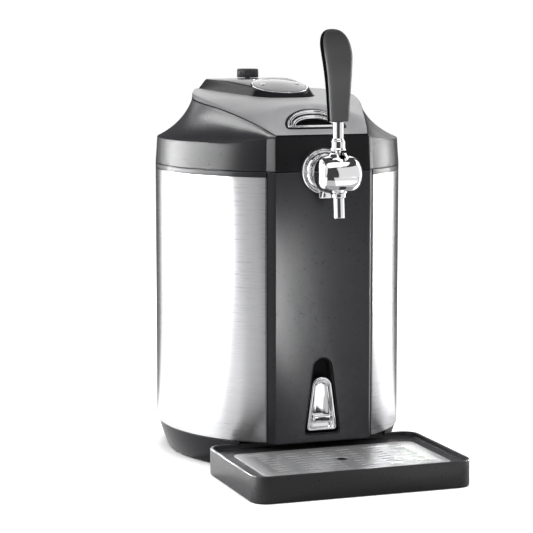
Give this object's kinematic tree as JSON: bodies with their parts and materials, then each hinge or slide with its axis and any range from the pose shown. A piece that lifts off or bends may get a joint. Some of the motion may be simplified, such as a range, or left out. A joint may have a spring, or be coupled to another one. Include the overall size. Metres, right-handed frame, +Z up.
{
  "type": "beer dispenser",
  "caption": "Countertop cooled beer dispenser for a party keg, with an oval steel-sided body, chrome tap, hinged lid and pull-out drip tray.",
  "frame": {"origin": "centre of the footprint's bounding box, on the surface that the dispenser stands on", "axes": "+Z up, -Y out of the front with the tap, +X to the right seen from the front"},
  "size_m": [0.27, 0.4241, 0.4757],
  "materials": {
    "black_plastic": "satin black moulded plastic",
    "lid_plastic": "satin dark grey moulded plastic",
    "inner_plastic": "plain black plastic",
    "white_plastic": "white liner plastic",
    "soft_grip": "soft-touch black",
    "rubber": "matt rubber",
    "brushed_steel": "horizontal brushed grain",
    "polished_steel": "bright stainless",
    "chrome": "mirror chrome",
    "smoked_glass": "glossy smoked display cover",
    "aluminium": "plain mill finish",
    "foam": "rigid insulating foam",
    "keg_paint": "plain painted tinplate",
    "brass": "machined brass",
    "circuit": "green circuit board",
    "ceramic": "white ceramic",
    "hose": "translucent beer hose"
  },
  "bodies": {
    "housing": {"base_ring": "black_plastic", "base_plate": "inner_plastic", "rubber_feet": "rubber", "body_frame": "black_plastic", "steel_panel_left": "brushed_steel", "steel_panel_right": "brushed_steel", "front_panel": "black_plastic", "rear_cover": "black_plastic", "lever_pocket": "inner_plastic", "lever_pin": "polished_steel", "lever_spring": "polished_steel", "insulation_foam": "foam", "cooling_liner": "aluminium", "chamber_neck": "white_plastic", "lid_gasket": "rubber", "keg_shell": "keg_paint", "keg_bung": "inner_plastic", "spear_tube": "polished_steel", "tapping_head": "inner_plastic", "beer_hose": "hose", "co2_cartridge": "polished_steel", "co2_regulator": "brass", "co2_hose": "rubber", "cold_block": "aluminium", "peltier_module": "ceramic", "heatsink": "aluminium", "fan_frame": "inner_plastic", "control_board": "circuit", "power_inlet": "inner_plastic", "top_housing": "black_plastic", "hinge_bracket": "polished_steel", "hinge_pin": "polished_steel", "tap_flange": "chrome", "tap_nut": "polished_steel", "tap_body": "chrome", "tap_caps": "chrome", "tap_spout": "chrome"},
    "tray": {"drip_tray": "black_plastic"},
    "grille": {"drip_grille": "polished_steel"},
    "lever": {"release_lever": "chrome"},
    "lid": {"lid_cover": "lid_plastic", "lid_liner": "white_plastic", "lid_hinge_arm": "polished_steel", "display_pod": "inner_plastic", "display_bezel": "chrome", "display_glass": "smoked_glass", "display_board": "circuit", "rotary_control": "inner_plastic", "latch_cup": "inner_plastic", "latch_frame": "chrome"},
    "knob": {"top_knob": "inner_plastic"},
    "latch": {"latch_paddle": "chrome"},
    "button_left": {"button_left": "polished_steel"},
    "button_right": {"button_right": "polished_steel"},
    "handle": {"handle_grip": "soft_grip", "tap_stem": "chrome", "valve_spindle": "polished_steel"},
    "fan": {"fan_rotor": "inner_plastic"},
    "switch": {"power_switch": "inner_plastic"}
  },
  "joints": [
    {"name": "lid_hinge", "type": "hinge", "parent": "housing", "child": "lid", "pos_m": [0, 0.196, 0.3925], "axis": [-1, 0, 0], "range_deg": [0, 78]},
    {"name": "tap_handle", "type": "hinge", "parent": "housing", "child": "handle", "pos_m": [0, -0.126, 0.325], "axis": [1, 0, 0], "range_deg": [0, 30]},
    {"name": "tray_slide", "type": "slide", "parent": "housing", "child": "tray", "axis": [0, -1, 0], "range_m": [0, 0.15]},
    {"name": "grille_lift", "type": "slide", "parent": "tray", "child": "grille", "axis": [0, 0, 1], "range_m": [0, 0.04]},
    {"name": "lever_tip", "type": "hinge", "parent": "housing", "child": "lever", "pos_m": [0, -0.0774, 0.0485], "axis": [1, 0, 0], "range_deg": [0, 22], "stiffness_Nm_per_rad": 0.15, "springref_deg": -5.73},
    {"name": "latch_tip", "type": "hinge", "parent": "lid", "child": "latch", "pos_m": [0, -0.04922, 0.38111], "axis": [-1, 0, 0], "range_deg": [0, 14], "stiffness_Nm_per_rad": 0.1, "springref_deg": -5.73},
    {"name": "knob_turn", "type": "hinge", "parent": "lid", "child": "knob", "pos_m": [0, 0.162, 0.417], "axis": [0, 0, 1], "range_deg": [0, 270]},
    {"name": "left_press", "type": "slide", "parent": "lid", "child": "button_left", "axis": [0, 0.2079, -0.9781], "range_m": [0, 0.0008], "stiffness_N_per_m": 400, "springref_m": -0.001},
    {"name": "right_press", "type": "slide", "parent": "lid", "child": "button_right", "axis": [0, 0.2079, -0.9781], "range_m": [0, 0.0008], "stiffness_N_per_m": 400, "springref_m": -0.001},
    {"name": "fan_spin", "type": "hinge", "parent": "housing", "child": "fan", "pos_m": [0, 0.193, 0.17], "axis": [0, 1, 0], "continuous": true},
    {"name": "switch_rock", "type": "hinge", "parent": "housing", "child": "switch", "pos_m": [-0.029, 0.2078, 0.062], "axis": [1, 0, 0], "range_deg": [0, 16]}
  ]
}
